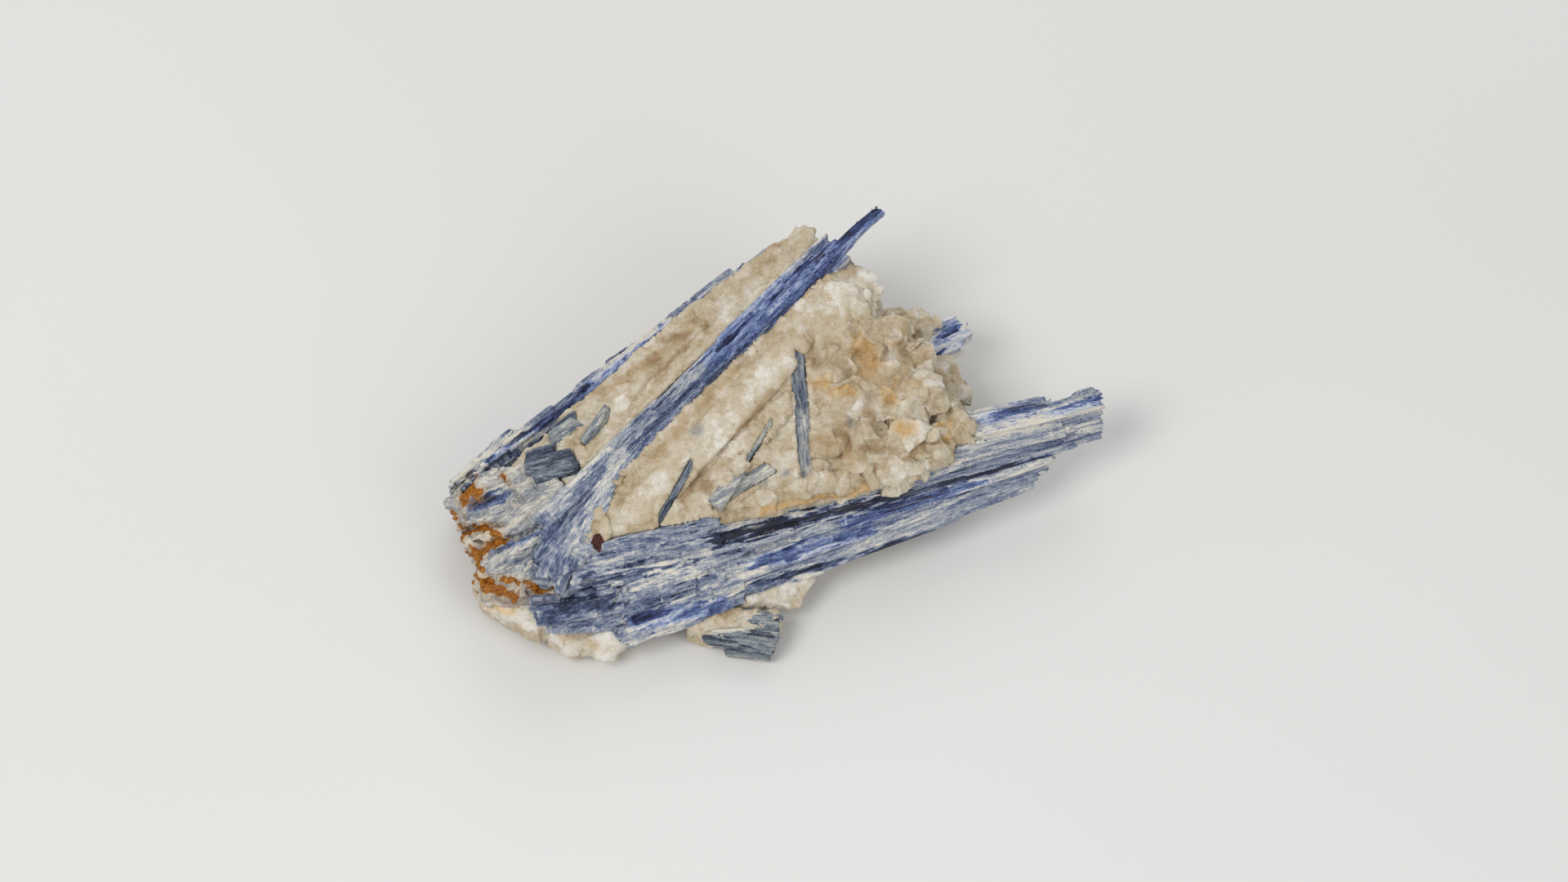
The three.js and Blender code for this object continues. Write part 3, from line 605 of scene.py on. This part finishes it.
# Splinters on the broken ends of a blade: height, scale along and across it, seed and steepness.
SPLINTERS = ((0.45, (0.05, 1.4, 1.4), 20, 0.4), (0.2, (0.1, 3.2, 3.2), 21, 1.0),
             (0.7, (0.03, 0.45, 0.45), 22, 0.3))
# Streaks: their scale along and across a blade, how uneven and how soft they are, and how much of a lath's own
# tone shows through.
DRAWN_OUT = (0.6, 1, 1)
STREAK_WOBBLE = 1.6
STREAK_BORDER = (0.7, 1.25)
LATH_SHARE = 0.4
# How strongly healed fractures show, and the least purity of the blue.
FRACTURE_STRENGTH = 0.7
LEAST_ROYAL = 0.1
# Rust strokes and their faint halo: width and strength.
RUST_RINGS = ((1, 1), (2.2, 0.22))


def cleavage(places, seed):
    """Height of a blade's cleavage steps and fine lines, in millimetres, and the laths' own tones."""
    bent = places.copy()
    bent[:, 0] += (7 * noise(places * (0.0, 0.35, 0.35), seed, 0.2)
                   + 0.6 * noise(places * (0.2, 1.7, 1.7), seed + 7))
    height = np.zeros(len(places))
    tone = height.copy()
    for size, step, ramp, change in LATHS:
        seed += 1
        spots = bent / size + LATH_SHIFT * seed
        height += step * noise(spots, seed, np.array(ramp))
        tone += change * noise(spots, seed + 50, np.array(ramp))
    return height + 0.05 * noise(places * (0.05, 3.1, 3.1), seed + 9), tone


def search_tree(piece):
    return BVHTree.FromObject(piece, bpy.context.evaluated_depsgraph_get())


def place(piece, node, material):
    thinned(piece)
    piece.data.materials.append(material)
    piece.data.shade_smooth()
    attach(piece, "root")
    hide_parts(node)


def broken_relief(node, seed, tree, hidden, points, places, facing, height):
    """How far each shown point of a crystal moves out, in millimetres."""
    free = np.where(hidden, 0.0, smooth(0.0, 1.5, points[:, 2]))
    end = smooth(0.5, 0.85, np.abs(facing[:, 0]))
    splinter = sum(size * noise(places * scale, seed + k, ramp) for size, scale, k, ramp in SPLINTERS)
    share = ROUGHNESS.get(node, SMALL_ROUGHNESS)
    rough = free * (share * height * (1 - 0.6 * end) + min(share, MOST_SPLINTERED) ** 2 * splinter * end)
    if node == "root_cluster":
        chips, seams, _ = grains(points / 3.4, seed + 30)
        rough += free * (0.7 * chips - 0.12 * seams + 0.08 * fractal(points / 0.9, seed + 33, 3))
    uneven = fractal(points / 2, seed + 36, 2)
    for depth, half_width, *pixels in CRACKS.get(node, ()):
        rough -= free * depth * stroke(points, tree, uneven, half_width, *pixels)
    if node in FLUSH:
        rough -= FLUSH_WEAR * np.clip(facing[:, 2], 0, 1) * ~hidden
    return rough


def painted(node, seed, tree, points, places, lath_tone):
    """The tone of each point of a crystal, painted shadows included, and how pure its blue is."""

    def drawn_out(spots):
        return blade_places(node, spots) * DRAWN_OUT

    reach = places * DRAWN_OUT
    wobble = fractal(places * (0.3, 2.6, 2.6), seed + 40, 3)
    tone = BASE_TONE[node] + lath_tone
    for name, half_width, *pixels in STREAKS.get(node, ()):
        cover = stroke(reach, tree, STREAK_WOBBLE * wobble, half_width, *pixels, to_places=drawn_out,
                       border=STREAK_BORDER)
        tone += (TONES[name] + LATH_SHARE * lath_tone - tone) * cover
    for half_width, *pixels in FRACTURES.get(node, ()):
        tone += (TONES["cream"] - tone) * FRACTURE_STRENGTH * stroke(points, tree, wobble, half_width, *pixels)
    royal = np.full(len(points), LEAST_ROYAL)
    for half_width, *pixels in ROYAL.get(node, ()):
        royal = np.maximum(royal, stroke(reach, tree, wobble, half_width, *pixels, to_places=drawn_out))
    return tone, royal


def rusted(tree, points, normals):
    """Rust on the broken root: strokes with a faint halo, and blotches on its outer face."""
    uneven = 0.9 * fractal(points / 1.1, 71, 4)
    outer = smooth(0.5, 0.85, -normals[:, 0]) * smooth(1, 4, points[:, 2])
    rust = 0.9 * outer * smooth(0.2, 0.45, fractal(points / 2.8, 73, 4))
    for half_width, *pixels in RUST:
        for width, strength in RUST_RINGS:
            rust = np.maximum(rust, strength * stroke(points, tree, uneven, width * half_width, *pixels))
    return rust


def make_crystal(node, step, seed, material):
    piece, hidden = skin(node, step)
    points, normals = arrays(piece.data)
    places = blade_places(node, points)
    facing = normals @ blade_axes(node)[1].T
    height, lath_tone = cleavage(places, seed)
    rough = broken_relief(node, seed, search_tree(piece), hidden, points, places, facing, height)
    moved(piece, points + normals * rough[:, None])

    tree = search_tree(piece)
    tone, royal = painted(node, seed, tree, points, places, lath_tone)
    rust = rusted(tree, points, normals) if node == "root_cluster" else np.zeros(len(points))
    keep(piece, "blade", places)
    keep(piece, "tone", tone)
    keep(piece, "rust", rust)
    keep(piece, "royal", royal)
    keep(piece, "steel", np.full(len(points), STEEL.get(node, 0.0)))
    keep(piece, "relief", height / STEP_HEIGHT)
    place(piece, node, material)


# Grains of the quartz, from large to small: size in millimetres, seed, crown and sharpness of their borders.
QUARTZ_GRAINS = ((5.2, 11, -0.3, 110), (2.4, 23, 0.0, 90), (1.1, 37, 0.5, 70))
# How soft the borders of stains are, and how much whiter than frosted a white patch of painted light is.
STAIN_BORDER = (0.3, 1.35)
WHITER = 2.2
# How far the quartz swells everywhere that shows, in millimetres.
SWELL = 0.1


def make_quartz(node, material):
    piece, hidden = skin(node, QUARTZ_STEP)
    points, normals = arrays(piece.data)
    band = stroke(points, search_tree(piece), fractal(points / 6, 5, 2), *SMOOTH_BAND)
    east = smooth(2, 16, points[:, 0] - CENTRE[0])
    coarse = (0.25 + 0.75 * east) * (1 - band)
    (big, big_seam, big_shade), (middle, middle_seam, middle_shade), (small, small_seam, small_shade) = (
        grains(points / size, *settings) for size, *settings in QUARTZ_GRAINS)
    waves = fractal(points / 7, 43, 3)
    grit = fractal(points / 0.7, 47, 3)
    height = coarse * (2.1 * big + 0.12 * big_seam) + (1 - 0.7 * band) * 0.42 * middle
    height += (1 - 0.4 * band) * 0.1 * small + 0.25 * waves + 0.045 * grit
    # Faint ridges in the smooth band lie along the long blade.
    start, axes = blade_axes("long_blade")
    lie = (points - start) @ axes.T
    height += 0.22 * band * fractal(lie * (0.05, 0.45, 0.45), 53, 3)
    low = smooth(0.0, 2.0, points[:, 2])
    crystals = merged(BLADES)
    reach = CREEP_REACH / 1000
    gap = np.array([crystals.find_nearest(Vector(p), reach)[3] or reach for p in points / 1000]) * 1000
    height += CREEP * np.exp(-((gap / 1.7) ** 2)) * (0.7 + 0.6 * fractal(points / 2.4, 59, 2))
    rough = np.where(hidden, CLOSING, low * height + SWELL)
    moved(piece, points + normals * rough[:, None])

    tree = search_tree(piece)
    wobble = fractal(points / 1.8, 57, 4)
    cover = {name: np.zeros(len(points)) for name in ("brown", "tan", "amber", "frost", "slate", "rusty")}
    for name, half_width, *pixels in QUARTZ_PATCHES:
        amount = stroke(points, tree, wobble, half_width, *pixels, border=STAIN_BORDER)
        # White patches are painted light on the low lumps, stored with the frost.
        if name == "white":
            name, amount = "frost", WHITER * amount
        cover[name] = np.maximum(cover[name], amount)
    for name, values in cover.items():
        keep(piece, name, values)
    # Seam values for the colour: painted shade in the smaller grains' seams, lighter along the large eastern
    # grains' seams.
    keep(piece, "seam", 0.4 * middle_seam + 0.25 * small_seam - 0.9 * coarse * big_seam)
    keep(piece, "relief", height)
    keep(piece, "shade", (0.4 + 0.6 * coarse) * big_shade + 0.8 * middle_shade + 0.45 * small_shade)
    place(piece, node, material)


def make_grain(node, material):
    piece, _ = skin(node, GRAIN_STEP)
    points, normals = arrays(piece.data)
    chips, seams, _ = grains(points / 0.9, 91)
    rough = 0.35 * chips - 0.14 * seams + 0.06 * fractal(points / 0.3, 95, 3)
    moved(piece, points + normals * rough[:, None])
    keep(piece, "seam", seams)
    place(piece, node, material)


class Nodes:
    """Short calls for building a material's nodes."""

    def __init__(self, name):
        self.material = bpy.data.materials.new(name)
        self.material.use_nodes = True
        self.tree = self.material.node_tree
        self.tree.nodes.clear()
        self.surface = self.add("ShaderNodeBsdfPrincipled")
        output = self.add("ShaderNodeOutputMaterial")
        self.tree.links.new(self.surface.outputs[0], output.inputs["Surface"])

    def add(self, kind, **settings):
        node = self.tree.nodes.new(kind)
        for key, value in settings.items():
            setattr(node, key, value)
        return node

    def put(self, node, socket, value):
        """Links an output to a socket, or sets the socket's own value."""
        if isinstance(value, bpy.types.NodeSocket):
            self.tree.links.new(value, node.inputs[socket])
        else:
            node.inputs[socket].default_value = value

    def number(self, name):
        return self.add("ShaderNodeAttribute", attribute_name=name).outputs["Fac"]

    def vector(self, name):
        return self.add("ShaderNodeAttribute", attribute_name=name).outputs["Vector"]

    def scaled(self, vector, scale, shift=(0, 0, 0)):
        node = self.add("ShaderNodeMapping")
        self.put(node, "Vector", vector)
        self.put(node, "Location", shift)
        self.put(node, "Scale", scale)
        return node.outputs[0]

    def noise(self, vector, detail=4.0, roughness=0.55, distortion=0.0):
        node = self.add("ShaderNodeTexNoise")
        self.put(node, "Vector", vector)
        self.put(node, "Scale", 1.0)
        self.put(node, "Detail", detail)
        self.put(node, "Roughness", roughness)
        self.put(node, "Distortion", distortion)
        return node.outputs["Fac"]

    def math(self, operation, a, b=0.0, c=0.0, clamp=False):
        node = self.add("ShaderNodeMath", operation=operation, use_clamp=clamp)
        for i, value in enumerate((a, b, c)):
            self.put(node, i, value)
        return node.outputs[0]

    def spread(self, value, low, high, to_low=0.0, to_high=1.0):
        node = self.add("ShaderNodeMapRange", clamp=True)
        sockets = ("Value", "From Min", "From Max", "To Min", "To Max")
        for socket, setting in zip(sockets, (value, low, high, to_low, to_high)):
            self.put(node, socket, setting)
        return node.outputs["Result"]

    def ramp(self, value, stops):
        node = self.add("ShaderNodeValToRGB")
        elements = node.color_ramp.elements
        while len(elements) < len(stops):
            elements.new(0.5)
        for element, (position, colour) in zip(elements, stops):
            element.position = position
            element.color = linear(*colour)
        self.put(node, 0, value)
        return node.outputs["Color"]

    def mix(self, share, a, b, blend="MIX"):
        node = self.add("ShaderNodeMix", data_type="RGBA", blend_type=blend)
        self.put(node, 0, share)
        self.put(node, 6, a)
        self.put(node, 7, b)
        return node.outputs[2]

    def varied(self, value, *sources):
        """Adds noises, each with its share, around the value."""
        for source, share in sources:
            value = self.math("ADD", value, self.math("MULTIPLY_ADD", source, share, -0.5 * share))
        return value

    def millimetres(self):
        return self.scaled(self.add("ShaderNodeTexCoord").outputs["Object"], (1000, 1000, 1000))

    def bump(self, height, strength, depth):
        node = self.add("ShaderNodeBump")
        self.put(node, "Height", height)
        self.put(node, "Strength", strength)
        self.put(node, "Distance", depth)
        self.put(self.surface, "Normal", node.outputs[0])


# Colours of the materials from dark to pale, on screen.
BLUE_STOPS = ((0.0, (10, 14, 32)), (0.15, (32, 44, 76)), (0.3, (62, 77, 109)), (0.45, (98, 110, 136)),
              (0.6, (134, 142, 158)), (0.75, (168, 172, 177)), (0.9, (201, 199, 193)), (1.0, (228, 221, 204)))
STEEL_STOPS = ((0.0, (14, 20, 32)), (0.2, (44, 57, 76)), (0.4, (84, 97, 112)), (0.6, (124, 133, 140)),
               (0.8, (168, 169, 163)), (1.0, (216, 211, 196)))
PALE_STOPS = ((0.0, (20, 28, 50)), (0.15, (46, 60, 92)), (0.3, (86, 96, 116)), (0.45, (124, 130, 140)),
              (0.6, (152, 155, 158)), (0.75, (178, 177, 172)), (0.9, (204, 199, 187)), (1.0, (226, 219, 204)))
ROYAL_STOPS = ((0.0, (14, 20, 56)), (0.2, (40, 56, 106)), (0.4, (76, 96, 146)), (0.6, (116, 134, 178)),
               (0.8, (166, 178, 206)), (1.0, (220, 220, 218)))
RUST_STOPS = ((0.3, (58, 30, 4)), (0.45, (138, 78, 3)), (0.58, (184, 116, 8)), (0.72, (214, 152, 40)))
QUARTZ_STOPS = ((0.0, (120, 92, 56)), (0.22, (162, 136, 98)), (0.42, (190, 171, 139)), (0.6, (205, 191, 165)),
                (0.8, (220, 210, 192)), (1.0, (240, 236, 227)))
RED_STOPS = ((0.25, (38, 8, 5)), (0.5, (84, 20, 12)), (0.75, (128, 44, 26)))
# Stains of the quartz, the brown one also carrying painted shade under a ledge and on a step: attribute,
# strength, colour on screen and the way it goes on.
STAINS = (("tan", 0.7, (226, 200, 158), "MULTIPLY"), ("brown", 0.85, (186, 156, 116), "MULTIPLY"),
          ("amber", 1.0, (254, 220, 158), "MULTIPLY"), ("rusty", 0.85, (172, 104, 30), "MIX"),
          ("slate", 0.75, (124, 132, 144), "MIX"))


def kyanite(name, stops):
    """Kyanite: fine streaks along the blade, from navy to cream, with pale veins and silky lines; its tone
    carries painted shadows, and higher laths are painted paler as shade.
    """
    n = Nodes(name)
    blade = n.vector("blade")
    broad = n.noise(n.scaled(blade, (0.11, 0.8, 0.8)), 6.0, 0.68, 0.4)
    fine = n.noise(n.scaled(blade, (0.32, 2.1, 2.1), (3, 7, 1)), 5.0, 0.72)
    speck = n.noise(n.scaled(blade, (1.8, 2.4, 2.4), (4, 3, 6)), 3.0, 0.7)
    hair = n.noise(n.scaled(blade, (0.6, 4.4, 4.4), (8, 2, 5)), 3.0, 0.7)
    blotch = n.noise(n.scaled(blade, (0.45, 0.6, 0.6), (1, 4, 9)), 6.0, 0.68)
    shade = n.math("MULTIPLY_ADD", n.number("tone"), 0.5, 0.53)
    shade = n.varied(shade, (broad, 0.75), (fine, 1.15), (hair, 0.95), (speck, 0.65), (blotch, 0.5))
    # Higher cleavage laths painted paler and lower ones darker: painted shade in the steps.
    shade = n.math("MULTIPLY_ADD", n.number("relief"), 0.06, shade)
    royal = n.math("ADD", n.number("royal"), n.spread(blotch, 0.45, 0.7, 0.0, 0.12), clamp=True)
    colour = n.mix(royal, n.ramp(shade, stops), n.ramp(shade, ROYAL_STOPS))
    colour = n.mix(n.number("steel"), colour, n.ramp(shade, STEEL_STOPS))
    veins = n.noise(n.scaled(blade, (0.12, 1.7, 1.7), (5, 1, 3)), 6.0, 0.7, 0.4)
    colour = n.mix(n.spread(veins, 0.56, 0.7, 0.0, 0.45), colour, linear(208, 205, 196))
    rust = n.number("rust")
    clots = n.noise(n.scaled(blade, (1.9, 1.9, 1.9), (2, 6, 4)), 5.0, 0.78)
    rust_colour = n.ramp(clots, RUST_STOPS)
    colour = n.mix(n.spread(rust, 0.0, 0.22, 0.0, 0.3), colour, linear(186, 142, 74))
    patchy = n.math("MULTIPLY_ADD", clots, 0.9, rust)
    colour = n.mix(n.spread(patchy, 0.78, 0.98), colour, rust_colour)
    n.put(n.surface, "Base Color", colour)
    n.put(n.surface, "Roughness", n.spread(fine, 0.3, 0.7, 0.36, 0.56))
    n.put(n.surface, "IOR", 1.6)
    n.put(n.surface, "Specular IOR Level", 0.35)
    n.bump(n.math("MULTIPLY_ADD", hair, 0.6, fine), 0.6, 0.0002)
    return n.material


def milky_quartz(name):
    """Milky quartz: sugary cream and frosted white, with iron stains and amber stains; painted shade darkens
    its lower faces and, toward tan, the seams of its smaller grains, under a ledge and on a step, and painted
    light makes its low lumps paler.
    """
    n = Nodes(name)
    place_mm = n.millimetres()
    cloud = n.noise(n.scaled(place_mm, (0.11, 0.11, 0.11)), 4.0, 0.55)
    patch = n.noise(n.scaled(place_mm, (0.35, 0.35, 0.35), (3, 1, 8)), 6.0, 0.65, 0.6)
    sugar = n.noise(n.scaled(place_mm, (1.1, 1.1, 1.1), (6, 2, 4)), 5.0, 0.75)
    grit = n.noise(n.scaled(place_mm, (2.8, 2.8, 2.8), (1, 9, 2)), 3.0, 0.7)
    # Higher grain faces painted paler and lower ones darker: painted shade.
    value = n.math("MULTIPLY_ADD", n.number("relief"), 0.05, 0.6)
    value = n.math("MULTIPLY_ADD", n.number("shade"), 0.32, value)
    value = n.varied(value, (cloud, 0.4), (patch, 0.65), (sugar, 0.65), (grit, 0.65))
    # Paler where frosted, and where painted light lifts the low lumps.
    value = n.math("MULTIPLY_ADD", n.number("frost"), 0.17, value)
    # Darker in the seams of the smaller grains, as painted shade; the large grains' seams in the east come out
    # lighter.
    value = n.math("MULTIPLY_ADD", n.number("seam"), -0.08, value)
    colour = n.ramp(value, QUARTZ_STOPS)
    worn = n.spread(patch, 0.32, 0.62, 0.25, 1.0)
    for attribute, amount, tint, blend in STAINS:
        share = n.math("MULTIPLY", n.math("MULTIPLY", n.number(attribute), worn), amount)
        colour = n.mix(share, colour, linear(*tint), blend)
    n.put(n.surface, "Base Color", colour)
    n.put(n.surface, "Roughness", n.spread(sugar, 0.3, 0.7, 0.28, 0.55))
    n.put(n.surface, "IOR", 1.54)
    n.put(n.surface, "Specular IOR Level", 0.4)
    n.put(n.surface, "Subsurface Weight", 0.25)
    n.put(n.surface, "Subsurface Radius", (1.0, 0.75, 0.5))
    n.put(n.surface, "Subsurface Scale", 0.0012)
    n.bump(n.math("MULTIPLY_ADD", sugar, 1.4, grit), 0.7, 0.00028)
    return n.material


def red_grain(name):
    """A dark red grain with a dull, crumbly face."""
    n = Nodes(name)
    place_mm = n.millimetres()
    clots = n.noise(n.scaled(place_mm, (2.2, 2.2, 2.2)), 5.0, 0.65)
    # Darker in its seams: painted shade.
    shade = n.math("MULTIPLY_ADD", n.number("seam"), -0.25, clots)
    n.put(n.surface, "Base Color", n.ramp(shade, RED_STOPS))
    n.put(n.surface, "Roughness", n.spread(clots, 0.3, 0.7, 0.4, 0.65))
    n.bump(clots, 0.5, 0.00015)
    return n.material


# Half the floor's width, and its height just under the specimen, in metres.
FLOOR_HALF = 3.0
FLOOR_HEIGHT = -0.0002


def pale_floor():
    n = Nodes("pale_floor")
    drift = n.noise(n.scaled(n.add("ShaderNodeTexCoord").outputs["Object"], (3, 3, 3)), 2.0, 0.5)
    n.put(n.surface, "Base Color", n.ramp(drift, ((0.3, (226, 226, 224)), (0.7, (232, 232, 231)))))
    n.put(n.surface, "Roughness", 0.8)
    mesh = bpy.data.meshes.new("floor")
    corners = [(FLOOR_HALF * x, FLOOR_HALF * y, 0) for x, y in ((-1, -1), (1, -1), (1, 1), (-1, 1))]
    mesh.from_pydata(corners, [], [(0, 1, 2, 3)])
    floor = bpy.data.objects.new("floor", mesh)
    floor.location.z = FLOOR_HEIGHT
    floor.data.materials.append(n.material)
    scene.collection.objects.link(floor)


def soft_light(name, place, size, power, colour):
    light = bpy.data.lights.new(name, "AREA")
    light.shape = "DISK"
    light.size = size
    light.energy = power
    light.color = colour
    lamp = bpy.data.objects.new(name, light)
    lamp.location = place
    lamp.rotation_mode = "QUATERNION"
    lamp.rotation_quaternion = (LOOK_AT - Vector(place)).to_track_quat("-Z", "Y")
    scene.collection.objects.link(lamp)


def camera():
    data = bpy.data.cameras.new("camera")
    data.lens = LENS
    data.sensor_width = SENSOR
    data.clip_start, data.clip_end = 0.01, 20
    eye = bpy.data.objects.new("camera", data)
    eye.location = EYE
    eye.rotation_mode = "QUATERNION"
    eye.rotation_quaternion = (-BACK).to_track_quat("-Z", "Y")
    scene.collection.objects.link(eye)
    scene.camera = eye


camera()
pale_floor()
world = bpy.data.worlds.new("studio")
world.use_nodes = True
background = world.node_tree.nodes["Background"]
background.inputs["Color"].default_value = (1.0, 1.0, 1.0, 1.0)
background.inputs["Strength"].default_value = 0.46
scene.world = world
soft_light("key", (-0.45, -0.35, 0.8), 0.5, 3.8, (1.0, 0.98, 0.95))
soft_light("fill", (0.6, -0.5, 0.5), 0.6, 1.6, (0.96, 0.98, 1.0))
soft_light("back", (0.1, 0.7, 0.6), 0.6, 1.6, (1.0, 1.0, 1.0))
scene.view_settings.view_transform = "Standard"
scene.view_settings.look = "None"

materials = {"kyanite_blue": kyanite("kyanite_blue", BLUE_STOPS),
             "kyanite_pale": kyanite("kyanite_pale", PALE_STOPS)}
for number, node in enumerate(BLADES, 1):
    step = CRYSTAL_STEP if node in ROUGHNESS else SMALL_STEP
    make_crystal(node, step, 100 * number, materials[SLOTS[node]])
make_quartz("quartz_matrix", milky_quartz("quartz"))
make_grain("red_grain", red_grain("dark_red_grain"))
